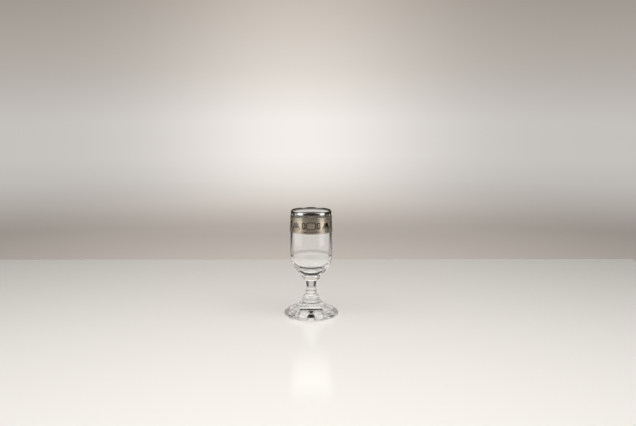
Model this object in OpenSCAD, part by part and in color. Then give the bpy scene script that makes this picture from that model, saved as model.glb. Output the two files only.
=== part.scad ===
// Cordial glass: a clear bowl on a collar, a short knopped stem and a thick
// pressed foot, with a platinum line at the lip and a wide relief band below it.
// The glass stands on z = 0 and its axis is the z axis. Sizes are in millimetres.

/* [Foot] */
// Widest diameter of the foot
foot_d = 51.8; // [49:0.2:56]
// Height of that widest line above the rest face
foot_edge_h = 2.5; // [1.8:0.1:3.2]
// Outside diameter of the ring that the glass rests on
rest_d = 42; // [39:0.2:45]
// Width of that ring
rest_w = 2; // [1.4:0.1:2.6]
// Diameter where the rounded edge turns into the slope
shoulder_d = 43.2; // [41:0.2:46]
// Height of that turn
shoulder_h = 7; // [6.4:0.1:7.6]
// Diameter of the flat on top of the foot
foot_top_d = 19.6; // [18.8:0.2:21]
// Height of the foot
foot_h = 14; // [12.5:0.1:16]

/* [Pressed dishes under the foot] */
// Number of dishes round the hollow
dish_count = 6; // [5:1:8]
// Diameter of the ring on which the dishes lie
dish_ring_d = 25; // [24:0.2:26]
// Radius of the ball that presses each dish
dish_r = 4.8; // [4.6:0.1:5.2]
// Height of the top of a dish above the rest face
dish_h = 4.6; // [4:0.1:4.6]
// Height of the shallow dome that joins the dishes
dome_h = 1.5; // [1:0.1:2.2]

/* [Drum] */
// Diameter of the drum where it stands on the foot
drum_seat_d = 16.4; // [15.8:0.1:16.6]
// Widest diameter of the drum
drum_d = 17.6; // [16.8:0.2:18.6]
// Height of that widest line above the foot
drum_edge_h = 1.6; // [1.2:0.1:2.2]
// Height of the drum
drum_h = 7.5; // [6.5:0.1:9]
// Diameter of the groove above it
groove_d = 9; // [8.4:0.1:9.4]

/* [Stem] */
// Diameter of the knop at the foot of the stem
knop_d = 11; // [10.4:0.1:12]
// Height of the knop
knop_h = 4.8; // [4:0.1:5.6]
// Diameter of the waist above the knop
waist_d = 9.8; // [9.4:0.1:10.2]
// Diameter of the stem where it meets the collar
neck_d = 11.6; // [11:0.1:12.4]
// Height of the stem with its knop
stem_h = 13.1; // [11.5:0.1:16]

/* [Collar] */
// Widest diameter of the collar under the bowl
collar_d = 16.8; // [16:0.1:18]
// Diameter of the collar's lower lip
collar_lip_d = 12.8; // [12.6:0.1:13.6]
// Height of the widest line above the stem
collar_edge_h = 3.6; // [3:0.1:4.2]
// Height of the collar
collar_h = 5.5; // [5:0.1:6.5]
// Diameter of the flat seat between collar and bowl
seat_d = 14.2; // [13.4:0.1:15]

/* [Bowl] */
// Widest diameter of the bowl
bowl_d = 40.1; // [39.9:0.1:42]
// Height of that widest line above the seat
bowl_wide_h = 20; // [18:0.2:24]
// How far the straight upper wall begins inside the widest line
wall_in = 0.15; // [0.1:0.05:0.4]
// How far the lip lies inside the widest line
lip_in = 0.95; // [0.7:0.05:1.3]
// Height of the straight upper wall
upper_wall_h = 20.6; // [20.4:0.1:24]
// Height of the bowl
bowl_h = 61.8; // [56:0.2:70]
// Thickness of the wall at the lip
lip_t = 1.2; // [1:0.05:1.6]
// Thickness of the wall where the straight upper wall begins
wall_t = 1.8; // [1.5:0.05:2.2]
// Thickness of the wall at the widest line
belly_t = 2; // [1.7:0.05:2.5]
// Thickness of the glass under the cavity
base_t = 5.2; // [4:0.1:7]

/* [Platinum] */
// Thickness of each fired skin
skin_t = 0.15; // [0.1:0.01:0.2]
// Height of the line at the lip
line_h = 2.1; // [1.5:0.1:2.6]
// Clear glass between the line and the band
line_gap = 2.6; // [2:0.1:3]
// Height of the band
band_h = 15.1; // [14.6:0.1:15.6]
// Thickness of the raised pattern on the band
relief_t = 0.2; // [0.15:0.01:0.3]

/* [Borders of the band] */
// Width of the narrow lines that edge the borders
rule_w = 0.4; // [0.3:0.05:0.5]
// Height of the upper border
upper_border_h = 3; // [2.6:0.1:3.2]
// Height of the lower border
lower_border_h = 3.2; // [2.8:0.1:3.4]
// Diameter of the pellets in the upper border
pellet_d = 1.3; // [1:0.1:1.5]
// Number of pellets
pellet_count = 48; // [36:4:56]
// Height of the lozenges in the lower border
lozenge_h = 1.8; // [1.4:0.1:2]
// Width of the lozenges
lozenge_w = 1.5; // [1.2:0.1:1.6]
// Number of lozenges
lozenge_count = 60; // [48:4:64]

/* [Frieze] */
// Diameter of the wall for which the motifs have the sizes below
frieze_d = 39.8; // [38:0.1:42]
// Number of cartouches and of palmettes
repeats = 4; // [3:1:4]
// Width of a cartouche
cartouche_w = 9.2; // [8.6:0.2:10]
// Height of a cartouche
cartouche_h = 7.4; // [6.6:0.1:7.8]
// Radius of its corners
cartouche_r = 2.2; // [1.8:0.1:2.6]
// Width of its raised line
cartouche_line = 0.8; // [0.6:0.05:1]
// Outside diameter of each curl beside a cartouche
curl_d = 3.9; // [3.6:0.1:4.1]
// Width of the raised line of a curl
curl_line = 1.2; // [1:0.05:1.4]
// Diameter of the bead that ends a curl
curl_bead_d = 1.5; // [1.3:0.05:1.6]
// Space between a cartouche and its curls
curl_gap = 0.6; // [0.4:0.05:1]
// Length of the longest leaf of a palmette
leaf_l = 5.2; // [4.6:0.1:5.4]
// Width of a palmette's leaves
leaf_w = 2; // [1.7:0.05:2.2]
// Height of a palmette's root above the bottom of the frieze
root_h = 2.9; // [2.6:0.1:3.2]

/* [Hidden] */
$fn = 96;

// Overrun of a cut past the face that it leaves
cut_over = 1;
// Straight pieces in each curved stretch of an outline
curve_steps = 14;
// Straight pieces in each rounded corner of a cartouche
corner_steps = 4;

// The heights at which the pieces meet
drum_z = foot_h;
stem_z = drum_z + drum_h;
collar_z = stem_z + stem_h;
bowl_z = collar_z + collar_h;
lip_z = bowl_z + bowl_h;
wall_z = lip_z - upper_wall_h;
line_z = lip_z - line_h;
band_top_z = line_z - line_gap;
band_z = band_top_z - band_h;
frieze_z = band_z + lower_border_h;
frieze_top_z = band_top_z - upper_border_h;
frieze_mid_z = (frieze_z + frieze_top_z) / 2;

// Outside diameters where the straight upper wall begins and at the lip
wall_d = bowl_d - 2 * wall_in;
lip_d = bowl_d - 2 * lip_in;

// Control points of the curved stretches, as shares of each stretch's run and rise
under_edge_shares = [[0.6, 0], [1, 0.42]];
over_edge_shares = [[0, 0.46], [0.36, 0.8]];
slope_shares = [[0.46, 0.3], [0.8, 0.58]];
drum_side_shares = [[0.6, 0.05], [1, 0.5]];
drum_shares = [[0, 0.5], [0.6, 0.82]];
neck_shares = [[0, 0.25], [0.8, 0.7]];
collar_shares = [[0.4, 0.1], [1.05, 0.5]];
collar_top_shares = [[0, 0.5], [0.6, 0.95]];
bowl_shares = [[0.56, 0.02], [0.955, 0.4]];
cavity_shares = [[0.7, 0], [1, 0.28]];
side_shares = [[0, 0.35], [0.4, 0.7]];

// The motifs grow and shrink with the wall that they lie on
motif_share = wall_d / frieze_d;
// Lengths of a palmette's five leaves, from the middle one outwards, and their lean
leaf_shares = [1, 0.92, 0.74];
leaf_lean = 34;
// Places of a palmette's two curls, as shares of a curl's diameter
root_curl_shares = [0.62, -0.3];
// Where the bead that ends a curl lies, as an angle below the curl's opening side
bead_angle = 20;

// The hollow under the foot
hollow_r = rest_d / 2 - rest_w;
dome_r = (hollow_r * hollow_r + dome_h * dome_h) / (2 * dome_h);

// A curved stretch between two points, by its two control points in shares
function along(a, b, share) = [a.x + (b.x - a.x) * share.x, a.y + (b.y - a.y) * share.y];
function bend(a, b, c, d, t) =
    pow(1 - t, 3) * a + 3 * pow(1 - t, 2) * t * b + 3 * (1 - t) * t * t * c + pow(t, 3) * d;
function curve(a, b, shares) = [
    for (i = [0 : curve_steps])
        bend(a, along(a, b, shares[0]), along(a, b, shares[1]), b, i / curve_steps)
];

// Outside radius of the straight upper wall at a height
function wall_r(z) = wall_d / 2 + (lip_d - wall_d) / 2 * (z - wall_z) / (lip_z - wall_z);
// Angle round the wall that an arc length at the frieze takes
function arc_angle(l) = l / wall_r(frieze_mid_z) * 180 / PI;

module foot_outline() {
    polygon(concat(
        [[0, 0]],
        curve([rest_d / 2, 0], [foot_d / 2, foot_edge_h], under_edge_shares),
        curve([foot_d / 2, foot_edge_h], [shoulder_d / 2, shoulder_h], over_edge_shares),
        curve([shoulder_d / 2, shoulder_h], [foot_top_d / 2, foot_h], slope_shares),
        [[0, foot_h]]
    ));
}

module foot() {
    color([0.86, 0.89, 0.89]) difference() {
        rotate_extrude() foot_outline();
        intersection() {
            translate([0, 0, dome_h - dome_r]) sphere(r = dome_r);
            translate([0, 0, -cut_over]) cylinder(r = hollow_r, h = foot_h);
        }
        for (i = [0 : dish_count - 1]) {
            rotate([0, 0, -90 + (i + 0.5) * 360 / dish_count])
                translate([dish_ring_d / 2, 0, dish_h - dish_r]) sphere(r = dish_r);
        }
    }
}

module foot_drum() {
    widest = [drum_d / 2, drum_z + drum_edge_h];
    color([0.84, 0.87, 0.87]) rotate_extrude() polygon(concat(
        [[0, drum_z]],
        curve([drum_seat_d / 2, drum_z], widest, drum_side_shares),
        curve(widest, [groove_d / 2, stem_z], drum_shares),
        [[0, stem_z]]
    ));
}

module stem() {
    knop_top = stem_z + knop_h;
    color([0.82, 0.86, 0.86]) rotate_extrude() polygon(concat(
        [[0, stem_z]],
        knop_outline(knop_top),
        curve([waist_d / 2, knop_top], [neck_d / 2, collar_z], neck_shares),
        [[0, collar_z]]
    ));
}

// The knop swells as half a wave between the groove and the waist
function knop_outline(top) = [
    for (i = [0 : curve_steps - 1])
        let (t = i / curve_steps, base = groove_d / 2 + (waist_d - groove_d) / 2 * t)
        [base + (knop_d / 2 - (groove_d + waist_d) / 4) * sin(180 * t), stem_z + (top - stem_z) * t]
];

module collar() {
    widest = [collar_d / 2, collar_z + collar_edge_h];
    color([0.84, 0.88, 0.88]) rotate_extrude() polygon(concat(
        [[0, collar_z]],
        curve([collar_lip_d / 2, collar_z], widest, collar_shares),
        curve(widest, [seat_d / 2, bowl_z], collar_top_shares),
        [[0, bowl_z]]
    ));
}

module bowl_outline() {
    belly = [bowl_d / 2, bowl_z + bowl_wide_h];
    wall = [wall_d / 2, wall_z];
    lip_r = lip_t / 2;
    inner_wall = [wall_d / 2 - wall_t, wall_z];
    inner_belly = [bowl_d / 2 - belly_t, bowl_z + bowl_wide_h];
    polygon(concat(
        [[0, bowl_z]],
        curve([seat_d / 2, bowl_z], belly, bowl_shares),
        curve(belly, wall, side_shares),
        lip_arc(lip_r, 0, 180),
        [inner_wall],
        curve(inner_belly, [0, bowl_z + base_t], [
            [1 - cavity_shares[1].x, 1 - cavity_shares[1].y],
            [1 - cavity_shares[0].x, 1 - cavity_shares[0].y]
        ])
    ));
}

// The rounded lip, or a skin over it, between two angles
function lip_arc(r, from, to) = [
    for (i = [0 : curve_steps])
        let (a = from + (to - from) * i / curve_steps)
        [lip_d / 2 - lip_t / 2 + r * cos(a), lip_z - lip_t / 2 + r * sin(a)]
];

module bowl() {
    color([0.86, 0.9, 0.9]) rotate_extrude() bowl_outline();
}

module lip_line() {
    color([0.42, 0.41, 0.4]) rotate_extrude() polygon(concat(
        [[wall_r(line_z), line_z], [wall_r(line_z) + skin_t, line_z]],
        lip_arc(lip_t / 2 + skin_t, 0, 180),
        lip_arc(lip_t / 2, 180, 0)
    ));
}

// A sleeve round the straight wall, between two heights and two depths
module sleeve(from_z, to_z, from_t, to_t) {
    rotate_extrude() polygon([
        [wall_r(from_z) + from_t, from_z],
        [wall_r(from_z) + to_t, from_z],
        [wall_r(to_z) + to_t, to_z],
        [wall_r(to_z) + from_t, to_z]
    ]);
}

module relief_sleeve(from_z, to_z) {
    sleeve(from_z, to_z, skin_t, skin_t + relief_t);
}

// A flat drawing turned to face outwards at an angle round the wall and a height,
// and cut out through the relief's whole depth
module on_wall(angle, z) {
    inner_r = min(wall_d, lip_d) / 2 - cut_over;
    rotate([0, 0, angle]) translate([inner_r, 0, z]) rotate([90, 0, 90])
        linear_extrude(height = max(wall_d, lip_d) / 2 - inner_r + cut_over) children();
}

module band_ground() {
    color([0.66, 0.64, 0.61]) sleeve(band_z, band_top_z, 0, skin_t);
}

module border_rules() {
    color([0.76, 0.75, 0.73]) {
        relief_sleeve(band_top_z - rule_w, band_top_z);
        relief_sleeve(frieze_top_z, frieze_top_z + rule_w);
        relief_sleeve(frieze_z - rule_w, frieze_z);
        relief_sleeve(band_z, band_z + rule_w);
    }
}

module upper_pellets() {
    mid_z = (frieze_top_z + band_top_z) / 2;
    color([0.8, 0.79, 0.77]) intersection() {
        relief_sleeve(frieze_top_z, band_top_z);
        for (i = [0 : pellet_count - 1]) {
            on_wall(i * 360 / pellet_count, mid_z) circle(d = pellet_d);
        }
    }
}

module lower_lozenges() {
    mid_z = (frieze_z + band_z) / 2;
    color([0.8, 0.79, 0.77]) intersection() {
        relief_sleeve(band_z, frieze_z);
        for (i = [0 : lozenge_count - 1]) {
            on_wall(i * 360 / lozenge_count, mid_z) polygon([
                [lozenge_w / 2, 0], [0, lozenge_h / 2], [-lozenge_w / 2, 0], [0, -lozenge_h / 2]
            ]);
        }
    }
}

module round_rectangle(w, h, r) {
    polygon([
        for (corner = [0 : 3], i = [0 : corner_steps])
            let (a = 90 * (corner + i / corner_steps))
            let (side = corner == 0 || corner == 3 ? 1 : -1, level = corner < 2 ? 1 : -1)
            [side * (w / 2 - r) + r * cos(a), level * (h / 2 - r) + r * sin(a)]
    ]);
}

module cartouches() {
    line = cartouche_line;
    color([0.3, 0.29, 0.28]) intersection() {
        relief_sleeve(frieze_z, frieze_top_z);
        for (i = [0 : repeats - 1]) {
            on_wall(-90 + i * 360 / repeats, frieze_mid_z) scale([motif_share, motif_share]) difference() {
                round_rectangle(cartouche_w, cartouche_h, cartouche_r);
                round_rectangle(cartouche_w - 2 * line, cartouche_h - 2 * line, cartouche_r - line);
            }
        }
    }
}

// An open ring that ends in a bead, with its opening towards +x
module curl() {
    mid_r = (curl_d - curl_line) / 2;
    difference() {
        circle(d = curl_d);
        circle(d = curl_d - 2 * curl_line);
        translate([0, -curl_d / 2 - curl_line]) square([curl_d, curl_d / 2 + curl_line]);
    }
    translate([mid_r * cos(bead_angle), -mid_r * sin(bead_angle)]) circle(d = curl_bead_d);
}

// Two curls one above the other, which open towards the cartouche
module curl_pair() {
    translate([0, curl_d / 2 - curl_line / 2]) curl();
    mirror([0, 1]) translate([0, curl_d / 2 - curl_line / 2]) curl();
}

module curls() {
    offset_l = (cartouche_w / 2 + curl_gap + curl_d / 2) * motif_share;
    color([0.3, 0.29, 0.28]) intersection() {
        relief_sleeve(frieze_z, frieze_top_z);
        for (i = [0 : repeats - 1], side = [0, 1]) {
            turn = arc_angle(offset_l) * (1 - 2 * side);
            on_wall(-90 + i * 360 / repeats + turn, frieze_mid_z)
                scale([motif_share, motif_share]) mirror([1 - side, 0]) curl_pair();
        }
    }
}

// A leaf with two pointed ends, standing on the origin
module leaf(l, w) {
    r = (l * l + w * w) / (4 * w);
    translate([0, l / 2]) intersection() {
        translate([r - w / 2, 0]) circle(r = r);
        translate([w / 2 - r, 0]) circle(r = r);
    }
}

// Five leaves in a fan over a pair of curls
module palmette() {
    for (i = [-2 : 2]) {
        rotate(-i * leaf_lean) leaf(leaf_l * leaf_shares[abs(i)], leaf_w);
    }
    circle(d = curl_bead_d);
    for (side = [0, 1]) {
        mirror([side, 0]) translate(root_curl_shares * curl_d) curl();
    }
}

module palmettes() {
    color([0.3, 0.29, 0.28]) intersection() {
        relief_sleeve(frieze_z, frieze_top_z);
        for (i = [0 : repeats - 1]) {
            on_wall(-90 + (i + 0.5) * 360 / repeats, frieze_z + root_h)
                scale([motif_share, motif_share]) palmette();
        }
    }
}

foot();
foot_drum();
stem();
collar();
bowl();
lip_line();
band_ground();
border_rules();
upper_pellets();
lower_lozenges();
cartouches();
curls();
palmettes();
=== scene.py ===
import math

import bmesh
import bpy
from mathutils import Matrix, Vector


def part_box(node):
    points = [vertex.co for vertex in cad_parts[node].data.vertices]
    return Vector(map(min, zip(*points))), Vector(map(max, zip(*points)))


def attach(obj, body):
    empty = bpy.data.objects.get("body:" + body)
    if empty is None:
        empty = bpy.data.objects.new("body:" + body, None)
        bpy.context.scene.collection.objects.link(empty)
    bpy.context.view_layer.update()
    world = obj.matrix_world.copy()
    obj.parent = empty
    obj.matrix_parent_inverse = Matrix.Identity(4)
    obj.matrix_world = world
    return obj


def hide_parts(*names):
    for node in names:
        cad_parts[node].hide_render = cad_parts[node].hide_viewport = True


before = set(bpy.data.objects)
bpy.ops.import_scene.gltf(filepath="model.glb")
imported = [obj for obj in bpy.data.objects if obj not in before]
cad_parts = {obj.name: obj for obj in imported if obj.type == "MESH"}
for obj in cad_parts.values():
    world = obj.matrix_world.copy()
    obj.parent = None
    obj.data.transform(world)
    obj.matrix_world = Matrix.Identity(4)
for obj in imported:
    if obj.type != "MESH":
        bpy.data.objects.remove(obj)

bl_info = {
    "name": "Cordial glass",
    "version": (1, 0, 0),
    "blender": (4, 5, 0),
    "location": "3D View > Sidebar > Cordial glass",
    "description": "Dresses the packed cordial glass with clear glass and fired platinum",
    "category": "Object",
}

MM = 0.001

# Distances in metres below which a point lies on the axis, two points or heights are one, and
# a face belongs to a seam
ON_AXIS = 1e-7
SAME_POINT = 1e-8
SAME_HEIGHT = 1e-7
SEAM_REACH = 1e-6

# Widest radii, heights at which the fused pieces meet, and heights of the platinum, from the
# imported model
FOOT_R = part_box("foot")[1].x
FOOT_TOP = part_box("foot")[1].z
DRUM_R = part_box("foot_drum")[1].x
DRUM_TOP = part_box("foot_drum")[1].z
STEM_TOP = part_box("stem")[1].z
COLLAR_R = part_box("collar")[1].x
COLLAR_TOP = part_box("collar")[1].z
BOWL_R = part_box("bowl")[1].x
LIP_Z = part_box("bowl")[1].z
LINE_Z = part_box("lip_line")[0].z
BAND_Z, BAND_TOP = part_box("band_ground")[0].z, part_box("band_ground")[1].z
PELLET_Z = (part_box("upper_pellets")[0].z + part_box("upper_pellets")[1].z) / 2
LOZENGE_Z = (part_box("lower_lozenges")[0].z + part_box("lower_lozenges")[1].z) / 2
FRIEZE_Z = (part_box("cartouches")[0].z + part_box("cartouches")[1].z) / 2


def linear(hex_colour):
    """Linear red, green, blue and alpha of a hex colour, by the curve of the sRGB standard."""
    parts = [int(hex_colour[i:i + 2], 16) / 255 for i in (1, 3, 5)]
    return [p / 12.92 if p <= 0.04045 else ((p + 0.055) / 1.055) ** 2.4 for p in parts] + [1.0]


def length(name, description, millimetres):
    """A length property with its default in millimetres."""
    return bpy.props.FloatProperty(
        name=name, description=description, default=millimetres * MM,
        min=0.0, precision=5, subtype="DISTANCE", unit="LENGTH",
    )


def colour(name, description, hex_colour):
    """A colour property with its default as an sRGB hex value."""
    return bpy.props.FloatVectorProperty(
        name=name, description=description, default=linear(hex_colour),
        size=4, min=0.0, max=1.0, subtype="COLOR",
    )


def amount(name, description, value, top=1.0):
    """A plain number property."""
    return bpy.props.FloatProperty(
        name=name, description=description, default=value, min=0.0, max=top,
    )


def count(name, description, number, least=3):
    """A whole number property."""
    return bpy.props.IntProperty(name=name, description=description, default=number, min=least)


def angle(name, description, degrees):
    """An angle property with its default in degrees."""
    return bpy.props.FloatProperty(
        name=name, description=description, default=math.radians(degrees),
        subtype="ANGLE", unit="ROTATION",
    )


class FootSizes(bpy.types.PropertyGroup):
    """Sizes of the pressed foot"""

    edge_h: length("Edge height", "Height of the foot's widest line", 2.5)
    rest_r: length("Rest radius", "Outside radius of the ring that the glass rests on", 21)
    rest_w: length("Rest width", "Width of that ring", 2)
    shoulder_r: length("Shoulder radius", "Radius where the round edge turns into the slope", 21.6)
    shoulder_h: length("Shoulder height", "Height of that turn", 7)
    top_r: length("Top radius", "Radius of the flat on top of the foot", 9.8)
    dishes: count("Dishes", "Pressed dishes round the hollow", 6)
    dish_ring: length("Dish ring", "Radius of the ring on which the dishes lie", 12.5)
    dish_r: length("Dish ball", "Radius of the ball that presses each dish", 4.8)
    dish_h: length("Dish height", "Height of the top of a dish", 4.6)
    dome_h: length("Dome height", "Height of the dome that joins the dishes", 1.5)
    ridge: length("Ridge softness", "How far the fire polish rounds a ridge between dishes", 0.15)


class StemSizes(bpy.types.PropertyGroup):
    """Sizes of drum, stem and collar"""

    drum_seat: length("Drum seat", "Radius of the seam between drum and foot", 8.2)
    drum_edge: length("Drum edge", "Height of the drum's widest line above the foot", 1.6)
    groove_r: length("Groove radius", "Radius of the groove above the drum", 4.5)
    knop_r: length("Knop radius", "Radius of the knop", 5.5)
    knop_h: length("Knop height", "Height of the knop", 4.8)
    waist_r: length("Waist radius", "Radius of the waist above the knop", 4.9)
    neck_r: length("Neck radius", "Radius of the stem under the collar", 5.8)
    collar_lip: length("Collar lip", "Radius of the collar's lower lip", 6.4)
    collar_edge: length("Collar edge", "Height of the collar's widest line above the stem", 3.6)
    seat_r: length("Seat radius", "Radius of the seam between collar and bowl", 7.1)


class BowlSizes(bpy.types.PropertyGroup):
    """Sizes of the blown bowl"""

    wide_h: length("Widest line", "Height of the widest line above the seat", 20)
    wall_h: length("Upper wall", "Height of the straight upper wall", 20.6)
    wall_in: length("Wall inset", "How far the upper wall begins inside the widest line", 0.15)
    lip_in: length("Lip inset", "How far the lip lies inside the widest line", 0.95)
    lip_t: length("Lip thickness", "Thickness of the wall at the lip", 1.2)
    wall_t: length("Wall thickness", "Thickness where the upper wall begins", 1.8)
    belly_t: length("Belly thickness", "Thickness of the wall at the widest line", 2)
    base_t: length("Base thickness", "Thickness of the glass under the cavity", 5.2)


class PlatinumSizes(bpy.types.PropertyGroup):
    """Sizes of the platinum and its raised pattern"""

    skin: length("Skin", "Thickness of each platinum skin", 0.15)
    relief: length("Relief", "Height of the raised pattern", 0.2)
    rule: length("Rule", "Width of the lines that edge the borders", 0.4)
    upper: length("Upper border", "Height of the upper border", 3)
    lower: length("Lower border", "Height of the lower border", 3.2)
    pellets: count("Pellets", "Pellets in the upper border", 48)
    pellet_r: length("Pellet radius", "Radius of a pellet", 0.65)
    lozenges: count("Lozenges", "Lozenges in the lower border", 60)
    lozenge_w: length("Lozenge width", "Width of a lozenge", 1.5)
    lozenge_h: length("Lozenge height", "Height of a lozenge", 1.8)
    repeats: count("Repeats", "Cartouches in the frieze", 4, 1)
    cartouche_w: length("Cartouche width", "Width of a cartouche", 9.2)
    cartouche_h: length("Cartouche height", "Height of a cartouche", 7.4)
    cartouche_r: length("Cartouche corner", "Radius of a cartouche's corners", 2.2)
    cartouche_line: length("Cartouche line", "Width of a cartouche's raised line", 0.8)
    curl_d: length("Curl", "Outside diameter of a curl", 3.9)
    curl_line: length("Curl line", "Width of a curl's raised line", 1.2)
    curl_bead: length("Curl bead", "Diameter of the bead that ends a curl", 1.5)
    curl_gap: length("Curl gap", "Space between a cartouche and its curls", 0.6)
    leaf_l: length("Leaf length", "Length of a palmette's longest leaf", 5.2)
    leaf_w: length("Leaf width", "Width of a palmette's leaves", 2)
    leaf_lean: angle("Leaf lean", "Angle between a palmette's leaves", 34)
    root_h: length("Root height", "Height of a palmette's root above the frieze's foot", 2.9)


class Finish(bpy.types.PropertyGroup):
    """Colours and roughness of glass and platinum"""

    glass: colour("Glass", "Tint of the clear glass", "#FEFEFE")
    glass_ior: amount("Glass IOR", "Refraction of soda-lime glass", 1.52, 2.0)
    bright: colour("Bright platinum", "Mirror-bright fired platinum", "#CFCBC5")
    satin: colour("Satin platinum", "Fired platinum on the etched ground", "#C9BCA9")
    relief: colour("Burnished platinum", "Burnished platinum on the relief", "#A8A197")
    # Painted dark reflection: the frieze's colour is set darker than the other platinum to stand
    # for the unlit room that it mirrors
    frieze: colour("Dark platinum", "Burnished platinum on the frieze's motifs", "#6A635B")
    backing: colour("Platinum back", "Back of the fired film, seen through the glass", "#8E877D")
    bright_roughness: amount("Bright roughness", "Roughness of the bright platinum", 0.06)
    satin_roughness: amount("Satin roughness", "Roughness of the etched ground", 0.3)
    relief_roughness: amount("Relief roughness", "Roughness of the burnished relief", 0.1)
    frieze_roughness: amount("Frieze roughness", "Roughness of the frieze's motifs", 0.1)
    backing_roughness: amount("Back roughness", "Roughness of the film's back", 0.36)


class StageLook(bpy.types.PropertyGroup):
    """Table, backdrop and camera"""

    table: colour("Table", "Colour of the pale tabletop", "#EAE7E2")
    table_roughness: amount("Table roughness", "Roughness of the paint on the table", 0.16)
    table_ior: amount("Table IOR", "Refraction of that paint", 1.45, 2.0)
    backdrop_glow: colour("Backdrop glow", "Brightest tone of the backdrop", "#F3EEE9")
    backdrop_top: colour("Backdrop top", "Tone of the backdrop above the glow", "#C7BEB4")
    backdrop_foot: colour("Backdrop foot", "Tone of the backdrop just above the table", "#B4ACA4")
    room: colour("Dark room", "Tone of the unlit room beside the backdrop", "#17110B")
    lens: amount("Lens", "Focal length in millimetres", 58.3, 200.0)
    distance: length("Distance", "Level distance from the camera to the glass", 962)
    height: length("Height", "Height of the camera above the table", 254.4)
    tilt: angle("Tilt", "How far the camera looks down", 9.164)
    turn: angle("Turn", "How far the camera looks to the right of the glass", 0.389)
    rear_edge: length("Rear edge", "From the glass to the table's rear edge", 264)
    front_edge: length("Front edge", "From the glass to the table's round front", 380)
    half_width: length("Half width", "Half the width of the table", 392)
    round_start: length("Round start", "From the glass to where that front begins", 50)
    thickness: length("Table thickness", "Thickness of the tabletop", 18)
    bevel: length("Bevel", "Width of the bevel round the tabletop's edges", 2)
    plain: amount("Plain level", "Strength of the even light on the table", 0.34, 2.0)
    pool_floor: amount("Pool floor", "Least share of light on the backdrop beside the glow", 0.62)


def sizes(name):
    """The scene's property group of that name."""
    return getattr(bpy.context.scene, "cordial_" + name)


# Outlines

TURNS = 192  # stretches round the axis
STEPS = 40  # stretches of a curve, for most of them
SHORT_STEPS = 20
LONG_STEPS = 64
WALL_STEPS = 8
ARC_STEPS = 16
HOLLOW_RINGS = 72

# Control points of the outlines' curves, as shares of each curve's run and rise
UNDER_EDGE_SHARES = ((0.6, 0), (1, 0.42))
OVER_EDGE_SHARES = ((0, 0.46), (0.36, 0.8))
SLOPE_SHARES = ((0.46, 0.3), (0.8, 0.58))
DRUM_SIDE_SHARES = ((0.6, 0.05), (1, 0.5))
DRUM_SHARES = ((0, 0.5), (0.6, 0.82))
NECK_SHARES = ((0, 0.25), (0.8, 0.7))
COLLAR_SHARES = ((0.4, 0.1), (1.05, 0.5))
COLLAR_TOP_SHARES = ((0, 0.5), (0.6, 0.95))
BOWL_SHARES = ((0.56, 0.02), (0.955, 0.4))
BOWL_TOP_SHARES = ((0, 0.35), (0.4, 0.7))
CAVITY_TOP_SHARES = ((0.6, 0.3), (1, 0.65))
CAVITY_SHARES = ((0, 0.72), (0.3, 1))


def curve(a, b, shares, steps=STEPS):
    """Points of a curve from a to b, by two control points in shares of its run and rise."""
    (s, u), (v, w) = shares
    dx, dz = b[0] - a[0], b[1] - a[1]
    c, d = (a[0] + dx * s, a[1] + dz * u), (a[0] + dx * v, a[1] + dz * w)
    points = []
    for i in range(steps + 1):
        t = i / steps
        e, f, g, h = (1 - t) ** 3, 3 * (1 - t) ** 2 * t, 3 * (1 - t) * t * t, t ** 3
        points.append(tuple(e * a[k] + f * c[k] + g * d[k] + h * b[k] for k in (0, 1)))
    return points


def arc(centre, radius, start, end, steps=ARC_STEPS):
    """Points of an arc between two angles in degrees."""
    turns = [math.radians(start + (end - start) * i / steps) for i in range(steps + 1)]
    return [(centre[0] + radius * math.cos(a), centre[1] + radius * math.sin(a)) for a in turns]


def straight(a, b, steps=2):
    """Points of a straight stretch."""
    return [tuple(a[k] + (b[k] - a[k]) * i / steps for k in (0, 1)) for i in range(steps + 1)]


def wall_r(z):
    """Outside radius of the bowl's straight upper wall at a height."""
    bowl = sizes("bowl")
    share = (z - LIP_Z + bowl.wall_h) / bowl.wall_h
    return BOWL_R - bowl.wall_in - (bowl.lip_in - bowl.wall_in) * share


# Meshes

SHARP_GLASS = 32  # degrees between two faces, above which their edge stays crisp
SHARP_RELIEF = 60


def new_object(name, data):
    """An object of the scene with that data."""
    made = bpy.data.objects.new(name, data)
    bpy.context.scene.collection.objects.link(made)
    return made


def finish_mesh(name, made, materials, cad_nodes, slot, sharp=SHARP_GLASS):
    """Links a mesh as a piece that rides on the glass and stands for CAD nodes."""
    mesh = bpy.data.meshes.new(name)
    made.to_mesh(mesh)
    made.free()
    for material in materials:
        mesh.materials.append(material)
    mesh.shade_smooth()
    mesh.set_sharp_from_angle(angle=math.radians(sharp))
    piece = new_object(name, mesh)
    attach(piece, "root")
    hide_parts(*cad_nodes)
    # Clear glass lets the lamps' light through to the table, and the platinum throws the shadow
    piece.visible_shadow = "glass" not in slot
    return piece


def ring(made, r, z):
    """A ring of vertices round the axis, or one vertex on it."""
    if r < ON_AXIS:
        return [made.verts.new((0, 0, z))]
    turns = [2 * math.pi / TURNS * i for i in range(TURNS)]
    return [made.verts.new((r * math.cos(a), r * math.sin(a), z)) for a in turns]


def skin(made, low, high, index=0):
    """Faces between two rings."""
    turns = max(len(low), len(high))
    for i in range(turns):
        j = (i + 1) % turns
        if len(low) == 1:
            corners = (low[0], high[j], high[i])
        elif len(high) == 1:
            corners = (low[i], low[j], high[0])
        else:
            corners = (low[i], low[j], high[j], high[i])
        made.faces.new(corners).material_index = index


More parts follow.
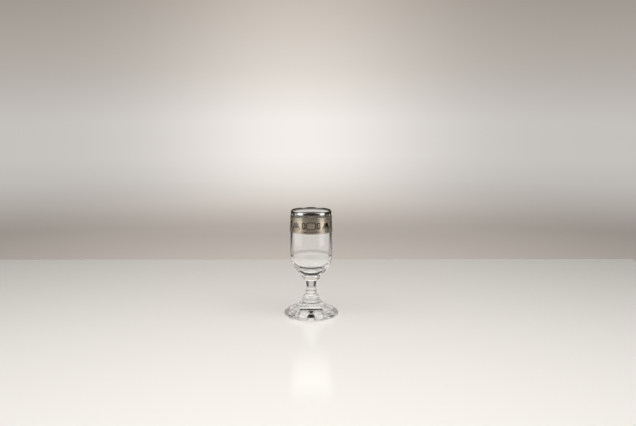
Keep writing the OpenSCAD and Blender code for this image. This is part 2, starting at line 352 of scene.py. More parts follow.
def lathe(made, outline, zone=lambda a, b: 0, closed=False):
    """Turns an outline, which runs upwards on the outside, about the axis."""
    points = [
        p for i, p in enumerate(outline) if i == 0 or math.dist(p, outline[i - 1]) > SAME_POINT
    ]
    if closed and math.dist(points[0], points[-1]) < SAME_POINT:
        points.pop()
    rings = [ring(made, r, z) for r, z in points]
    for i in range(len(points) - (0 if closed else 1)):
        j = (i + 1) % len(points)
        if len(rings[i]) > 1 or len(rings[j]) > 1:
            skin(made, rings[i], rings[j], zone(points[i], points[j]))
    return rings


# Materials

def add(tree, kind, inputs=None, **settings):
    """Adds a node with its settings, and sets or links its inputs."""
    made = tree.nodes.new(kind)
    for key, value in settings.items():
        setattr(made, key, value)
    for key, value in (inputs or {}).items():
        if isinstance(value, bpy.types.NodeSocket):
            tree.links.new(value, made.inputs[key])
        else:
            made.inputs[key].default_value = value
    return made


def noise_bump(tree, size, height, detail=2.0):
    """A normal from noise, whose grain and height are real lengths."""
    place = add(tree, "ShaderNodeTexCoord")
    noise = add(tree, "ShaderNodeTexNoise", {
        "Vector": place.outputs["Object"], "Scale": 1 / size, "Detail": detail,
    })
    return add(tree, "ShaderNodeBump", {
        "Height": noise.outputs["Fac"], "Distance": height, "Strength": 1.0,
    }).outputs["Normal"]


def surface(name, kind, inputs, bump=None):
    """A material of one shader, made once and kept under its name."""
    material = bpy.data.materials.get(name)
    if not material:
        material = bpy.data.materials.new(name)
        material.use_nodes = True
        tree = material.node_tree
        tree.nodes.clear()
        body = add(tree, kind, inputs)
        if bump:
            tree.links.new(noise_bump(tree, *bump), body.inputs["Normal"])
        add(tree, "ShaderNodeOutputMaterial", {"Surface": body.outputs["BSDF"]})
    return material


def clear_glass(name, wave, height):
    """Soda-lime glass, fire polished. The eye sees a clear body whose surface is not quite even."""
    look = sizes("finish")
    return surface(name, "ShaderNodeBsdfPrincipled", {
        "Base Color": look.glass, "Roughness": 0.0, "IOR": look.glass_ior,
        "Transmission Weight": 1.0,
    }, bump=(wave, height))


def fused_seam():
    """A seam fused while hot. The glass is one body there, so light passes straight through."""
    return surface("fused_seam", "ShaderNodeBsdfTransparent", {"Color": (1, 1, 1, 1)})


def platinum(name, film, grain, height, metallic=1.0):
    """Fired platinum. The eye sees a warm grey metal, with a grain as fine as its ground."""
    look = sizes("finish")
    return surface(name, "ShaderNodeBsdfPrincipled", {
        "Base Color": getattr(look, film), "Metallic": metallic,
        "Roughness": getattr(look, film + "_roughness"),
    }, bump=(grain, height, 4.0))


def bright_platinum():
    """Bright fired platinum. The eye sees a clean mirror on the line over the lip."""
    return platinum("bright_platinum", "bright", grain=1.5 * MM, height=0.002 * MM)


def satin_platinum():
    """Platinum fired on etched glass. The eye sees a soft warm sheen without a mirror image."""
    return platinum(
        "satin_platinum_on_etched_ground", "satin",
        grain=0.3 * MM, height=0.02 * MM, metallic=0.8,
    )


def burnished_platinum():
    """Burnished platinum. The eye sees glints on the rules, pellets and lozenges of the borders."""
    return platinum("burnished_platinum", "relief", grain=0.8 * MM, height=0.004 * MM)


def frieze_platinum_painted_dark():
    """Burnished platinum whose colour is darkened to paint in the dark room that its mirror would
    show: painted dark reflection. The eye sees the frieze stand dark on the satin ground.
    """
    return platinum("burnished_platinum_painted_dark_reflection", "frieze", grain=0.8 * MM, height=0.004 * MM)


def platinum_back():
    """The fired film from behind. The eye sees a dull grey metal through the wall of the bowl."""
    return platinum("platinum_back_through_glass", "backing", grain=0.5 * MM, height=0.01 * MM)


def blown_glass():
    """Blown glass of the bowl. The eye sees long, slow waves in what lies behind it."""
    return clear_glass("blown_clear_glass", wave=14 * MM, height=0.012 * MM)


def pressed_glass():
    """Pressed glass of foot and stem. The eye sees shorter waves than in the blown bowl."""
    return clear_glass("pressed_clear_glass", wave=6 * MM, height=0.012 * MM)


# Glass pieces

def pressed_and_fused():
    """Materials of a pressed piece: its glass, and the seams where it is fused."""
    return pressed_glass(), fused_seam()


def seam_inside(radii, heights):
    """Marks as fused the flat discs at a lower and an upper height, within a radius for each."""
    def zone(a, b):
        """1 for a seam and 0 for glass, between two points of the outline."""
        on_seam = min(abs(a[1] - z) for z in heights) < SEAM_REACH
        radius = radii[a[1] > heights[0] + SEAM_REACH]
        flat = abs(a[1] - b[1]) < SAME_HEIGHT
        return 1 if flat and on_seam and max(a[0], b[0]) <= radius + SEAM_REACH else 0
    return zone


class CORDIAL_OT_foot(bpy.types.Operator):
    """Makes the pressed foot with the dishes in its hollow"""

    bl_idname = "cordial.foot"
    bl_label = "Foot"

    def execute(self, context):
        foot, seat_r = sizes("foot"), sizes("stem").drum_seat
        hollow_r = foot.rest_r - foot.rest_w
        edge, shoulder = (FOOT_R, foot.edge_h), (foot.shoulder_r, foot.shoulder_h)
        outline = straight((hollow_r, 0), (foot.rest_r, 0))
        outline += curve((foot.rest_r, 0), edge, UNDER_EDGE_SHARES, SHORT_STEPS)
        outline += curve(edge, shoulder, OVER_EDGE_SHARES)
        outline += curve(shoulder, (foot.top_r, FOOT_TOP), SLOPE_SHARES)
        outline += straight((foot.top_r, FOOT_TOP), (seat_r, FOOT_TOP))
        outline += [(0, FOOT_TOP)]
        made = bmesh.new()
        rings = lathe(made, outline, seam_inside((seat_r, seat_r), (FOOT_TOP,)))
        inner = None
        for i in range(HOLLOW_RINGS + 1):
            if i == 0:
                level = [made.verts.new((0, 0, hollow_height(0, 0)))]
            elif i == HOLLOW_RINGS:
                level = rings[0]
            else:
                level = ring(made, hollow_r * i / HOLLOW_RINGS, 0)
                for vert in level:
                    vert.co.z = hollow_height(vert.co.x, vert.co.y)
            if inner:
                skin(made, inner, level)
            inner = level
        bmesh.ops.recalc_face_normals(made, faces=made.faces)
        finish_mesh("pressed_foot", made, pressed_and_fused(), ["foot"], "foot_glass")
        return {"FINISHED"}


def hollow_height(x, y):
    """Height of the hollow under the foot: a dome and dishes with soft ridges between them."""
    foot = sizes("foot")
    hollow_r = foot.rest_r - foot.rest_w
    dome_r = (hollow_r ** 2 + foot.dome_h ** 2) / (2 * foot.dome_h)
    heights = [foot.dome_h - dome_r + math.sqrt(dome_r ** 2 - x * x - y * y)]
    for i in range(foot.dishes):
        turn = -math.pi / 2 + (i + 0.5) * 2 * math.pi / foot.dishes
        dish_x, dish_y = foot.dish_ring * math.cos(turn), foot.dish_ring * math.sin(turn)
        inside = foot.dish_r ** 2 - (x - dish_x) ** 2 - (y - dish_y) ** 2
        if inside > 0:
            heights.append(foot.dish_h - foot.dish_r + math.sqrt(inside))
    top = max(heights)
    soft = top + foot.ridge * math.log(sum(math.exp((h - top) / foot.ridge) for h in heights))
    fade = min(1.0, (hollow_r - math.hypot(x, y)) / (2 * foot.ridge))
    return max(0.0, top + (soft - top) * fade)


class CORDIAL_OT_drum(bpy.types.Operator):
    """Makes the drum that joins the stem to the foot"""

    bl_idname = "cordial.drum"
    bl_label = "Drum"

    def execute(self, context):
        stem = sizes("stem")
        widest = (DRUM_R, FOOT_TOP + stem.drum_edge)
        outline = [(0, FOOT_TOP)]
        outline += curve((stem.drum_seat, FOOT_TOP), widest, DRUM_SIDE_SHARES, SHORT_STEPS)
        outline += curve(widest, (stem.groove_r, DRUM_TOP), DRUM_SHARES)
        outline += [(0, DRUM_TOP)]
        made = bmesh.new()
        lathe(made, outline, seam_inside((stem.drum_seat, stem.groove_r), (FOOT_TOP, DRUM_TOP)))
        finish_mesh("stem_drum", made, pressed_and_fused(), ["foot_drum"], "stem_glass")
        return {"FINISHED"}


class CORDIAL_OT_stem(bpy.types.Operator):
    """Makes the stem with its knop"""

    bl_idname = "cordial.stem"
    bl_label = "Stem"

    def execute(self, context):
        stem = sizes("stem")
        knop_top = DRUM_TOP + stem.knop_h
        outline = [(0, DRUM_TOP)]
        for i in range(STEPS):
            t = i / STEPS
            base = stem.groove_r + (stem.waist_r - stem.groove_r) * t
            swell = stem.knop_r - (stem.groove_r + stem.waist_r) / 2
            outline.append((base + swell * math.sin(math.pi * t), DRUM_TOP + stem.knop_h * t))
        outline += curve((stem.waist_r, knop_top), (stem.neck_r, STEM_TOP), NECK_SHARES)
        outline += [(0, STEM_TOP)]
        made = bmesh.new()
        lathe(made, outline, seam_inside((stem.groove_r, stem.neck_r), (DRUM_TOP, STEM_TOP)))
        finish_mesh("knopped_stem", made, pressed_and_fused(), ["stem"], "stem_glass")
        return {"FINISHED"}


class CORDIAL_OT_collar(bpy.types.Operator):
    """Makes the collar under the bowl"""

    bl_idname = "cordial.collar"
    bl_label = "Collar"

    def execute(self, context):
        stem = sizes("stem")
        widest = (COLLAR_R, STEM_TOP + stem.collar_edge)
        outline = [(0, STEM_TOP), (stem.neck_r, STEM_TOP)]
        outline += curve((stem.collar_lip, STEM_TOP), widest, COLLAR_SHARES)
        outline += curve(widest, (stem.seat_r, COLLAR_TOP), COLLAR_TOP_SHARES, SHORT_STEPS)
        outline += [(0, COLLAR_TOP)]
        made = bmesh.new()
        lathe(made, outline, seam_inside((stem.neck_r, stem.seat_r), (STEM_TOP, COLLAR_TOP)))
        finish_mesh("bowl_collar", made, pressed_and_fused(), ["collar"], "stem_glass")
        return {"FINISHED"}


class CORDIAL_OT_bowl(bpy.types.Operator):
    """Makes the blown bowl, with the platinum's back where the skins lie on it"""

    bl_idname = "cordial.bowl"
    bl_label = "Bowl"

    def execute(self, context):
        bowl, seat_r = sizes("bowl"), sizes("stem").seat_r
        belly = (BOWL_R, COLLAR_TOP + bowl.wide_h)
        wall_z = LIP_Z - bowl.wall_h
        lip_r = bowl.lip_t / 2
        lip_centre = (wall_r(LIP_Z) - lip_r, LIP_Z - lip_r)
        inner_belly = (BOWL_R - bowl.belly_t, belly[1])
        inner_wall = (wall_r(wall_z) - bowl.wall_t, wall_z)
        outline = [(0, COLLAR_TOP)]
        outline += curve((seat_r, COLLAR_TOP), belly, BOWL_SHARES, LONG_STEPS)
        outline += curve(belly, (wall_r(wall_z), wall_z), BOWL_TOP_SHARES)
        outline += straight((wall_r(BAND_Z), BAND_Z), (wall_r(BAND_TOP), BAND_TOP), WALL_STEPS)
        outline += straight((wall_r(LINE_Z), LINE_Z), (lip_centre[0] + lip_r, lip_centre[1]))
        outline += arc(lip_centre, lip_r, 0, 180)
        outline += curve(inner_wall, inner_belly, CAVITY_TOP_SHARES)
        outline += curve(inner_belly, (0, COLLAR_TOP + bowl.base_t), CAVITY_SHARES, LONG_STEPS)
        made = bmesh.new()
        seam = seam_inside((seat_r, seat_r), (COLLAR_TOP,))
        lip_inside = lip_centre[0] - lip_r
        band_inside = BOWL_R - bowl.belly_t

        def zone(a, b):
            """Glass, fused seam, the film's back under the band, or bright film under the line."""
            outside = min(a[0], b[0]) > lip_inside - SEAM_REACH and b[1] >= a[1] - lip_r
            in_band = a[1] >= BAND_Z - SAME_HEIGHT and b[1] <= BAND_TOP + SAME_HEIGHT
            if outside and in_band and b[0] > band_inside:
                return 2 if a[0] > lip_centre[0] else 0
            if a[1] >= LINE_Z - SAME_HEIGHT and b[1] >= LIP_Z - lip_r - SAME_HEIGHT:
                return 3
            return seam(a, b)

        lathe(made, outline, zone)
        materials = (blown_glass(), fused_seam(), platinum_back(), bright_platinum())
        finish_mesh("blown_bowl", made, materials, ["bowl"], "bowl_glass")
        return {"FINISHED"}


# Platinum

CLEAR = 0.01 * MM  # gap that keeps a skin's face off the face beneath it
BAND_STEPS = 24
LIP_STEPS = 24
RULE_STEPS = 12
DOME_LEVELS = 6
DOME_SIDES = 24
STROKE_SIDES = 10
FLAT = 1e-9  # sine of an angle that counts as none
BACK_POWER = 0.5  # below 1 gives raised strokes a flatter back and steeper edges
LOZENGE_POWER = 1.2
FULL_RISE = 1.5  # a stroke has its full height where it is at least its widest width over this
CORNER_STEPS = 10
CURL_STEPS = 40
CURL_START, CURL_TURN = -20, 290  # degrees
CURL_THINNING, CURL_THINNING_POWER = 0.6, 4
CURL_BEAD_RISE = 1.2
LEAF_STEPS = 16
LEAF_SHARES = (1, 0.92, 0.74)  # of the longest leaf, from the middle leaf outwards
LEAF_TIP_SHARE = 0.06
LEAF_RISE = 1.1
ROOT_RISE = 1.25
ROOT_CURL_SHARES = (0.62, -0.3)  # place of the curls at a palmette's root, in curl diameters


class CORDIAL_OT_lip_line(bpy.types.Operator):
    """Makes the bright platinum line over the lip"""

    bl_idname = "cordial.lip_line"
    bl_label = "Lip line"

    def execute(self, context):
        skin_t, lip_r = sizes("platinum").skin, sizes("bowl").lip_t / 2
        centre = (wall_r(LIP_Z) - lip_r, LIP_Z - lip_r)
        low = wall_r(LINE_Z)
        outline = [(low + CLEAR, LINE_Z), (low + skin_t, LINE_Z)]
        outline += arc(centre, lip_r + skin_t, 0, 180, LIP_STEPS)
        outline += arc(centre, lip_r + CLEAR, 180, 0, LIP_STEPS)
        made = bmesh.new()
        lathe(made, outline, closed=True)
        film = (bright_platinum(),)
        finish_mesh("platinum_lip_line", made, film, ["lip_line"], "bright_platinum")
        return {"FINISHED"}


class CORDIAL_OT_ground(bpy.types.Operator):
    """Makes the satin ground of the band"""

    bl_idname = "cordial.ground"
    bl_label = "Band ground"

    def execute(self, context):
        low, high, skin_t = wall_r(BAND_Z), wall_r(BAND_TOP), sizes("platinum").skin
        outline = straight((low + skin_t, BAND_Z), (high + skin_t, BAND_TOP), BAND_STEPS)
        outline += straight((high + CLEAR, BAND_TOP), (low + CLEAR, BAND_Z), BAND_STEPS)
        made = bmesh.new()
        lathe(made, outline, closed=True)
        film = (satin_platinum(),)
        finish_mesh("band_ground_satin", made, film, ["band_ground"], "satin_platinum")
        return {"FINISHED"}


class CORDIAL_OT_rules(bpy.types.Operator):
    """Makes the four raised lines that edge the borders"""

    bl_idname = "cordial.rules"
    bl_label = "Border rules"

    def execute(self, context):
        band = sizes("platinum")
        starts = (
            BAND_Z, BAND_Z + band.lower - band.rule, BAND_TOP - band.upper, BAND_TOP - band.rule,
        )
        made = bmesh.new()
        for z in starts:
            ground, middle = wall_r(z) + band.skin, z + band.rule / 2
            outline = [(ground - CLEAR, z), (ground, z)]
            for i in range(RULE_STEPS + 1):
                a = math.pi * (i / RULE_STEPS - 0.5)
                outline.append((
                    ground + band.relief * math.cos(a), middle + band.rule / 2 * math.sin(a),
                ))
            outline += [(ground - CLEAR, z + band.rule)]
            lathe(made, outline, closed=True)
        film = (burnished_platinum(),)
        finish_mesh(
            "border_rules_raised", made, film, ["border_rules"], "relief_platinum", SHARP_RELIEF,
        )
        return {"FINISHED"}


def finish_relief(name, made, material, cad_nodes):
    """Links a row of raised motifs, with faces turned outwards and crisp edges."""
    bmesh.ops.recalc_face_normals(made, faces=made.faces)
    finish_mesh(name, made, (material,), cad_nodes, "relief_platinum", SHARP_RELIEF)


def on_wall(made, turn, z, x, y, height):
    """A vertex on the band: x along and y up the wall from a motif's place, raised by a height."""
    r = wall_r(z + y) + sizes("platinum").skin + height
    a = turn + x / wall_r(FRIEZE_Z)
    return made.verts.new((r * math.cos(a), r * math.sin(a), z + y))


def rounded(t):
    """Across and up on the rounded back of a stroke, for an angle from 0 to 180 degrees."""
    across = math.copysign(abs(math.cos(t)) ** BACK_POWER, math.cos(t))
    return across, math.sin(t) ** BACK_POWER if math.sin(t) > FLAT else 0.0


def boss(made, turn, z, centre, half_w, half_h, height, power=2.0):
    """A low dome. Power 2 gives a round outline and 1 a lozenge."""
    levels = []
    for k in range(DOME_LEVELS):
        reach, rise = rounded(k / DOME_LEVELS * math.pi / 2)
        row = []
        for i in range(DOME_SIDES):
            a = 2 * math.pi * i / DOME_SIDES
            c, s = math.cos(a), math.sin(a)
            x = math.copysign(abs(c) ** (2 / power), c) * half_w * reach
            y = math.copysign(abs(s) ** (2 / power), s) * half_h * reach
            row.append(on_wall(made, turn, z, centre[0] + x, centre[1] + y, rise * height))
        levels.append(row)
    levels.append([on_wall(made, turn, z, *centre, height)])
    for low, high in zip(levels, levels[1:]):
        skin(made, low, high)
    made.faces.new(reversed(levels[0]))


def stroke(made, turn, z, path, widths, height, closed=False):
    """A raised stroke with a rounded back, along a path on the wall."""
    points = len(path)
    rows = []
    for i, (x, y) in enumerate(path):
        before = path[(i - 1) % points] if closed or i else path[i]
        after = path[(i + 1) % points] if closed or i < points - 1 else path[i]
        dx, dy = after[0] - before[0], after[1] - before[1]
        size = math.hypot(dx, dy)
        half = widths[i] / 2
        rise_share = min(1.0, widths[i] / max(widths) * FULL_RISE)
        row = []
        for k in range(STROKE_SIDES + 1):
            across, rise = rounded(math.pi * k / STROKE_SIDES)
            row.append(on_wall(
                made, turn, z, x - dy / size * half * across, y + dx / size * half * across,
                height * rise * rise_share,
            ))
        rows.append(row)
    for low, high in zip(rows, rows[1:] + rows[:1] if closed else rows[1:]):
        for k in range(STROKE_SIDES + 1):
            n = (k + 1) % (STROKE_SIDES + 1)
            made.faces.new((low[k], low[n], high[n], high[k]))
    if not closed:
        made.faces.new(rows[0])
        made.faces.new(reversed(rows[-1]))


class CORDIAL_OT_pellets(bpy.types.Operator):
    """Makes the row of pellets in the upper border"""

    bl_idname = "cordial.pellets"
    bl_label = "Pellets"

    def execute(self, context):
        band = sizes("platinum")
        made = bmesh.new()
        r = band.pellet_r
        for i in range(band.pellets):
            boss(made, 2 * math.pi * i / band.pellets, PELLET_Z, (0, 0), r, r, band.relief)
        finish_relief("upper_border_pellets", made, burnished_platinum(), ["upper_pellets"])
        return {"FINISHED"}


class CORDIAL_OT_lozenges(bpy.types.Operator):
    """Makes the row of lozenges in the lower border"""

    bl_idname = "cordial.lozenges"
    bl_label = "Lozenges"

    def execute(self, context):
        band = sizes("platinum")
        made = bmesh.new()
        for i in range(band.lozenges):
            boss(
                made, 2 * math.pi * i / band.lozenges, LOZENGE_Z, (0, 0),
                band.lozenge_w / 2, band.lozenge_h / 2, band.relief, LOZENGE_POWER,
            )
        finish_relief("lower_border_lozenges", made, burnished_platinum(), ["lower_lozenges"])
        return {"FINISHED"}


class CORDIAL_OT_cartouches(bpy.types.Operator):
    """Makes the rounded frames of the frieze"""

    bl_idname = "cordial.cartouches"
    bl_label = "Cartouches"

    def execute(self, context):
        band = sizes("platinum")
        line, corner = band.cartouche_line, band.cartouche_r - band.cartouche_line / 2
        w, h = (band.cartouche_w - line) / 2 - corner, (band.cartouche_h - line) / 2 - corner
        path = []
        for quarter, (sx, sy) in enumerate(((1, 1), (-1, 1), (-1, -1), (1, -1))):
            start = 90 * quarter
            path += arc((sx * w, sy * h), corner, start, start + 90, CORNER_STEPS)
        made = bmesh.new()
        for i in range(band.repeats):
            turn = -math.pi / 2 + 2 * math.pi * i / band.repeats
            stroke(made, turn, FRIEZE_Z, path, [line] * len(path), band.relief, closed=True)
        finish_relief("frieze_cartouches", made, frieze_platinum_painted_dark(), ["cartouches"])
        return {"FINISHED"}


def curl(made, turn, z, centre, side, up):
    """An open ring that ends in a bead, with its opening on one side."""
    band = sizes("platinum")
    mid_r = (band.curl_d - band.curl_line) / 2
    path, widths = [], []
    for i in range(CURL_STEPS + 1):
        a = math.radians(CURL_START + CURL_TURN * i / CURL_STEPS)
        path.append((centre[0] + side * mid_r * math.cos(a), centre[1] + up * mid_r * math.sin(a)))
        thinned = CURL_THINNING * (i / CURL_STEPS) ** CURL_THINNING_POWER
        widths.append(band.curl_line * (1 - thinned))
    stroke(made, turn, z, path, widths, band.relief)
    bead = band.curl_bead / 2
    boss(made, turn, z, path[0], bead, bead, band.relief * CURL_BEAD_RISE)


class CORDIAL_OT_curls(bpy.types.Operator):
    """Makes the pairs of curls beside the cartouches"""

    bl_idname = "cordial.curls"
    bl_label = "Curls"

    def execute(self, context):
        band = sizes("platinum")
        out = band.cartouche_w / 2 + band.curl_gap + band.curl_d / 2
        rise = band.curl_d / 2 - band.curl_line / 2
        made = bmesh.new()
        for i in range(band.repeats):
            turn = -math.pi / 2 + 2 * math.pi * i / band.repeats
            for side in (1, -1):
                for up in (1, -1):
                    curl(made, turn, FRIEZE_Z, (side * out, up * rise), -side, up)
        finish_relief("frieze_curls", made, frieze_platinum_painted_dark(), ["curls"])
        return {"FINISHED"}


class CORDIAL_OT_palmettes(bpy.types.Operator):
    """Makes the leaf fans between the cartouches"""

    bl_idname = "cordial.palmettes"
    bl_label = "Palmettes"

    def execute(self, context):
        band = sizes("platinum")
        z = BAND_Z + band.lower + band.root_h
        made = bmesh.new()
        for i in range(band.repeats):
            turn = -math.pi / 2 + 2 * math.pi * (i + 0.5) / band.repeats
            for k in range(1 - len(LEAF_SHARES), len(LEAF_SHARES)):
                reach, lean = band.leaf_l * LEAF_SHARES[abs(k)], k * band.leaf_lean
                path, widths = [], []
                for step in range(LEAF_STEPS + 1):
                    t = step / LEAF_STEPS
                    path.append((reach * t * math.sin(lean), reach * t * math.cos(lean)))
                    widths.append(band.leaf_w * max(LEAF_TIP_SHARE, math.sin(math.pi * t)))
                stroke(made, turn, z, path, widths, band.relief * LEAF_RISE)
            bead = band.curl_bead / 2
            boss(made, turn, z, (0, 0), bead, bead, band.relief * ROOT_RISE)
            curl_x, curl_y = (share * band.curl_d for share in ROOT_CURL_SHARES)
            for side in (1, -1):
                curl(made, turn, z, (side * curl_x, curl_y), side, 1)
        finish_relief("frieze_palmettes", made, frieze_platinum_painted_dark(), ["palmettes"])
        return {"FINISHED"}


# Stage

BLACK, WHITE = (0.0, 0.0, 0.0, 1.0), (1.0, 1.0, 1.0, 1.0)

# Tones of the room by the rise of a direction: its height, scaled and moved so that the part that
# shows lies between 0 and 1. None stands for a tone from the stage's settings.
RISE_SCALE, RISE_AT_LEVEL = 2.0, 0.5
BACKDROP = (
    (0.0, "#C2B9B0"), (0.1, "#C0B7AF"), (0.139, None), (0.159, "#B7AFA7"), (0.178, "#C3BBB4"),
    (0.206, "#D7D0C9"), (0.245, "#E9E4DE"), (0.29, None), (0.36, None), (0.46, "#DDD6CE"),
    (0.59, None), (0.75, "#A39B92"), (1.0, "#807A73"),
)
THROUGH_GLASS = (
    (0.0, "#D8D3CD"), (0.09, "#CBC6C0"), (0.12, "#C6C1BA"), (0.14, "#B0ABA3"), (0.16, "#AAA59D"),
    (0.2, "#B4AFA7"), (0.37, "#BAB5AD"), (0.46, "#D4CEC7"), (0.52, "#F0EBE4"), (0.78, "#F0EBE4"),
    (0.87, "#BDB5AC"), (1.0, "#B4ACA3"),
)
# Flags and walls round the glass: each tone reaches to its end, in degrees from the backdrop
HIGH_FLAGS = (
    (-62, "#FFFFFF"), (-38, "#8A847D"), (40, "#FFFFFF"), (104, "#C8C2BB"), (180, "#FFFFFF"),
)
LOW_FLAGS = ((-51, "#FFFFFF"), (-19, None), (19, "#FFFFFF"), (51, None), (180, "#FFFFFF"))
LOW_WALLS = (
    (-128, "#26221E"), (-76, "#E4E4E4"), (103, "#26221E"), (135, "#FFFFFF"), (180, "#26221E"),
)
WALLS = ((-132, "#26221E"), (-98, "#FFFFFF"), (100, "#26221E"), (128, "#FFFFFF"), (180, "#26221E"))
UPPER_WALLS = "#26221E"
MIRRORED_BACKDROP = ((-13, "#000000"), (13, "#FFFFFF"), (180, "#000000"))
MIRROR_SHADE = "#B4B4B4"
EVEN_LIGHT = "#F4F1EC"

# Where one tone turns into the next: by rise, and for ceiling and panel by height
FLAG_CHANGE = (0.5, 0.58)
WALL_CHANGE = (0.3, 0.33)
UPPER_WALL_CHANGE = (0.49, 0.5)
GLOW_CHANGE = (0.14, 0.24)
CEILING_CHANGE = (0.32, 0.4)
PANEL_CHANGE = (0.222, 0.256)

GLOW_FALL = (11, 60)  # how fast the glow fades to the sides, near the table and above
GLOW_TURN = 0.012  # radians from the glow's middle to the axis behind the glass
TONE_SOFTNESS = 5  # degrees to each side of a change of tone
THROUGH_STRENGTH = 1.1
MIRROR_STRENGTH = 2.2

# Name, place, aim, width, height in metres, and power in watts
TOP_LAMP = ("top_softbox", (0.03, -0.36, 0.72), (0.03, -0.36, 0), 1.0, 0.7, 4.8)
SIDE_LAMPS = (
    ("left_softbox", (-0.5, -0.24, 0.78), (0, 0, 0.08), 0.6, 0.4, 2.4),
    ("right_softbox", (0.5, -0.3, 0.78), (0, 0, 0.08), 0.5, 0.4, 1.9),
)

ROUND_STEPS = 48
BEVEL_SEGMENTS = 3
SENSOR_WIDTH = 36.0
CLEAR_BOUNCES = 24
GLOSSY_BOUNCES = 12


def tabletop_material():
    """Glossy paint. The eye sees an even pale surface with a soft mirror image of the glass."""
    look = sizes("stage")
    return surface("glossy_painted_tabletop", "ShaderNodeBsdfPrincipled", {
        "Base Color": look.table, "Roughness": look.table_roughness, "IOR": look.table_ior,
    }, bump=(60 * MM, 0.01 * MM))


def ramp(tree, value, stops):
    """A colour ramp with stops of place and colour."""
    made = add(tree, "ShaderNodeValToRGB", {"Fac": value})
    elements = made.color_ramp.elements
    while len(elements) > 1:
        elements.remove(elements[-1])
    elements[0].position, elements[0].color = stops[0]
    for place, tone in stops[1:]:
        elements.new(place).color = tone
    return made.outputs["Color"]


def change(tree, value, places, low=BLACK, high=WHITE):
    """A ramp from one tone to another between two places."""
    return ramp(tree, value, list(zip(places, (low, high))))


def maths(tree, operation, *values):
    """A math node on sockets or numbers."""
    return add(tree, "ShaderNodeMath", dict(enumerate(values)), operation=operation).outputs[0]


def mix(tree, share, a, b, blend="MIX"):
    """Two colours mixed by a share."""
    inputs = {0: share, 6: a, 7: b}
    return add(tree, "ShaderNodeMix", inputs, data_type="RGBA", blend_type=blend).outputs[2]


def multiply(tree, a, b):
    """Two colours multiplied."""
    return mix(tree, 1.0, a, b, "MULTIPLY")


def by_turn(tree, bearing, tones, given=None):
    """A ramp round the room, from tones that each reach to an end in degrees."""
    stops = []
    for (end, tone), (_, after) in zip(tones, tones[1:]):
        for place, shade in ((end - TONE_SOFTNESS, tone), (end + TONE_SOFTNESS, after)):
            stops.append(((place + 180) / 360, linear(shade) if shade else given))
    return ramp(tree, bearing, stops)


def backdrop(tree, rise, turn):
    """The backdrop as the camera sees it: a pale glow behind the glass that fades to the sides."""
    look = sizes("stage")
    given = iter((look.backdrop_foot, look.backdrop_glow, look.backdrop_glow, look.backdrop_top))
    stops = [(place, linear(tone) if tone else list(next(given))) for place, tone in BACKDROP]
    aside = maths(tree, "POWER", maths(tree, "ABSOLUTE", maths(tree, "ADD", turn, GLOW_TURN)), 2.0)
    falls = [(fall, fall, fall, 1) for fall in GLOW_FALL]
    fall = change(tree, rise, GLOW_CHANGE, *falls)
    pool = maths(tree, "MULTIPLY", maths(tree, "MULTIPLY", aside, fall), -1.0)
    pool = maths(tree, "MULTIPLY", maths(tree, "EXPONENT", pool), 1 - look.pool_floor)
    return multiply(tree, ramp(tree, rise, stops), maths(tree, "ADD", pool, look.pool_floor))


def room_through_glass(tree, rise, bearing, height):
    """What clear glass passes on: backdrop, lit panel, dark flags and dark ceiling."""
    room = list(sizes("stage").room)
    flags = mix(
        tree, change(tree, rise, FLAG_CHANGE),
        by_turn(tree, bearing, LOW_FLAGS, room), by_turn(tree, bearing, HIGH_FLAGS),
    )
    flags = multiply(tree, flags, change(tree, height, CEILING_CHANGE, WHITE, room))
    lit = ramp(tree, rise, [(place, linear(tone)) for place, tone in THROUGH_GLASS])
    return multiply(tree, mix(tree, change(tree, height, PANEL_CHANGE), lit, WHITE), flags)


def room_in_mirrors(tree, rise, bearing, seen):
    """What metal and polished surfaces mirror: the backdrop, and a dark room with lit walls."""
    walls = mix(
        tree, change(tree, rise, WALL_CHANGE),
        by_turn(tree, bearing, LOW_WALLS), by_turn(tree, bearing, WALLS),
    )
    walls = mix(tree, change(tree, rise, UPPER_WALL_CHANGE), walls, linear(UPPER_WALLS))
    shaded = multiply(tree, seen, linear(MIRROR_SHADE))
    return mix(tree, by_turn(tree, bearing, MIRRORED_BACKDROP), walls, shaded)


def make_world():
    """The room by direction, as the camera, glass and mirrors see it, and an even light."""
    world = bpy.data.worlds.new("studio")
    world.use_nodes = True
    tree = world.node_tree
    tree.nodes.clear()
    place = add(tree, "ShaderNodeTexCoord").outputs["Generated"]
    parts = add(tree, "ShaderNodeSeparateXYZ", {"Vector": place}).outputs
    rise = maths(tree, "ADD", maths(tree, "MULTIPLY", parts["Z"], RISE_SCALE), RISE_AT_LEVEL)
    turn = maths(tree, "ARCTAN2", parts["X"], parts["Y"])
    bearing = maths(tree, "ADD", maths(tree, "DIVIDE", turn, 2 * math.pi), 0.5)
    seen = backdrop(tree, rise, turn)
    through = room_through_glass(tree, rise, bearing, parts["Z"])
    mirrored = room_in_mirrors(tree, rise, bearing, seen)
    path = add(tree, "ShaderNodeLightPath").outputs
    shown = add(tree, "ShaderNodeBackground", {"Color": seen, "Strength": 1.0})
    for ray, tone, strength in (
        ("Is Glossy Ray", mirrored, MIRROR_STRENGTH),
        ("Is Transmission Ray", through, THROUGH_STRENGTH),
        ("Is Diffuse Ray", linear(EVEN_LIGHT), sizes("stage").plain),
    ):
        light = add(tree, "ShaderNodeBackground", {"Color": tone, "Strength": strength})
        shown = add(tree, "ShaderNodeMixShader", {
            0: path[ray], 1: shown.outputs[0], 2: light.outputs[0],
        })
    add(tree, "ShaderNodeOutputWorld", {"Surface": shown.outputs[0]})
    bpy.context.scene.world = world


def softbox(name, place, aim, width, height, power):
    """A rectangular area lamp turned towards a point."""
    lamp = bpy.data.lights.new(name, "AREA")
    lamp.shape, lamp.size, lamp.size_y, lamp.energy = "RECTANGLE", width, height, power
    made = new_object(name, lamp)
    made.location = place
    made.visible_camera = False
    direction = [aim[k] - place[k] for k in range(3)]
    made.rotation_mode = "QUATERNION"
    made.rotation_quaternion = Vector(direction).to_track_quat("-Z", "Y")
    return made


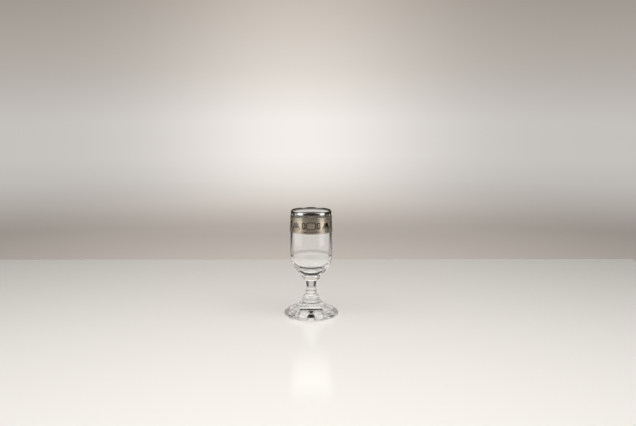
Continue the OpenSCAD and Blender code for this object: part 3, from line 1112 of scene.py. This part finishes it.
def make_tabletop():
    """The tabletop: straight behind and round in front, with bevelled edges."""
    look = sizes("stage")
    rim = [(look.half_width, look.rear_edge), (-look.half_width, look.rear_edge)]
    depth = look.front_edge - look.round_start
    for i in range(ROUND_STEPS + 1):
        a = math.pi * (1 + i / ROUND_STEPS)
        rim.append((look.half_width * math.cos(a), depth * math.sin(a) - look.round_start))
    made = bmesh.new()
    top = [made.verts.new((x, y, 0)) for x, y in rim]
    bottom = [made.verts.new((x, y, -look.thickness)) for x, y in rim]
    made.faces.new(top)
    made.faces.new(reversed(bottom))
    skin(made, bottom, top)
    edges = [edge for edge in made.edges if len({v.co.z for v in edge.verts}) == 1]
    bmesh.ops.bevel(made, geom=edges, offset=look.bevel, segments=BEVEL_SEGMENTS, affect="EDGES")
    bmesh.ops.recalc_face_normals(made, faces=made.faces)
    mesh = bpy.data.meshes.new("tabletop")
    made.to_mesh(mesh)
    made.free()
    mesh.materials.append(tabletop_material())
    table = new_object("tabletop", mesh)


def make_camera():
    """The camera, placed as the photo's was."""
    look = sizes("stage")
    camera = new_object("camera", bpy.data.cameras.new("camera"))
    camera.data.lens = look.lens
    camera.data.sensor_width = SENSOR_WIDTH
    camera.location = (0, -look.distance, look.height)
    camera.rotation_euler = (math.pi / 2 - look.tilt, 0, -look.turn)
    bpy.context.scene.camera = camera


class CORDIAL_OT_stage(bpy.types.Operator):
    """Makes the table, the studio light and the camera"""

    bl_idname = "cordial.stage"
    bl_label = "Stage"

    def execute(self, context):
        make_tabletop()
        make_world()
        top = softbox(*TOP_LAMP)
        # The table and the glass would mirror this lamp as a hard-edged patch
        top.visible_glossy = top.visible_transmission = False
        for lamp in SIDE_LAMPS:
            softbox(*lamp)
        make_camera()
        scene = context.scene
        scene.view_settings.view_transform = "Standard"
        scene.cycles.max_bounces = CLEAR_BOUNCES
        scene.cycles.transmission_bounces = CLEAR_BOUNCES
        scene.cycles.transparent_max_bounces = CLEAR_BOUNCES
        scene.cycles.glossy_bounces = GLOSSY_BOUNCES
        return {"FINISHED"}


class CORDIAL_PT_panel(bpy.types.Panel):
    """Lists the pieces of the cordial glass"""

    bl_idname = "CORDIAL_PT_panel"
    bl_label = "Cordial glass"
    bl_space_type = "VIEW_3D"
    bl_region_type = "UI"
    bl_category = "Cordial glass"

    def draw(self, context):
        for operator in OPERATORS:
            self.layout.operator(operator.bl_idname)


GROUPS = {
    "foot": FootSizes, "stem": StemSizes, "bowl": BowlSizes, "platinum": PlatinumSizes,
    "finish": Finish, "stage": StageLook,
}
OPERATORS = (
    CORDIAL_OT_stage, CORDIAL_OT_foot, CORDIAL_OT_drum, CORDIAL_OT_stem, CORDIAL_OT_collar,
    CORDIAL_OT_bowl, CORDIAL_OT_lip_line, CORDIAL_OT_ground, CORDIAL_OT_rules, CORDIAL_OT_pellets,
    CORDIAL_OT_lozenges, CORDIAL_OT_cartouches, CORDIAL_OT_curls, CORDIAL_OT_palmettes,
)


def register():
    """Adds the settings, operators and panel to Blender."""
    for group in GROUPS.values():
        bpy.utils.register_class(group)
    for name, group in GROUPS.items():
        setattr(bpy.types.Scene, "cordial_" + name, bpy.props.PointerProperty(type=group))
    for operator in OPERATORS:
        bpy.utils.register_class(operator)
    bpy.utils.register_class(CORDIAL_PT_panel)


def unregister():
    """Takes them out again, last ones first."""
    bpy.utils.unregister_class(CORDIAL_PT_panel)
    for operator in reversed(OPERATORS):
        bpy.utils.unregister_class(operator)
    for name in GROUPS:
        delattr(bpy.types.Scene, "cordial_" + name)
    for group in reversed(list(GROUPS.values())):
        bpy.utils.unregister_class(group)


def main():
    """Makes stage and pieces."""
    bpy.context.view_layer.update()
    register()
    for operator in OPERATORS:
        getattr(bpy.ops.cordial, operator.bl_idname.split(".")[1])()


if __name__ == "__main__":
    main()
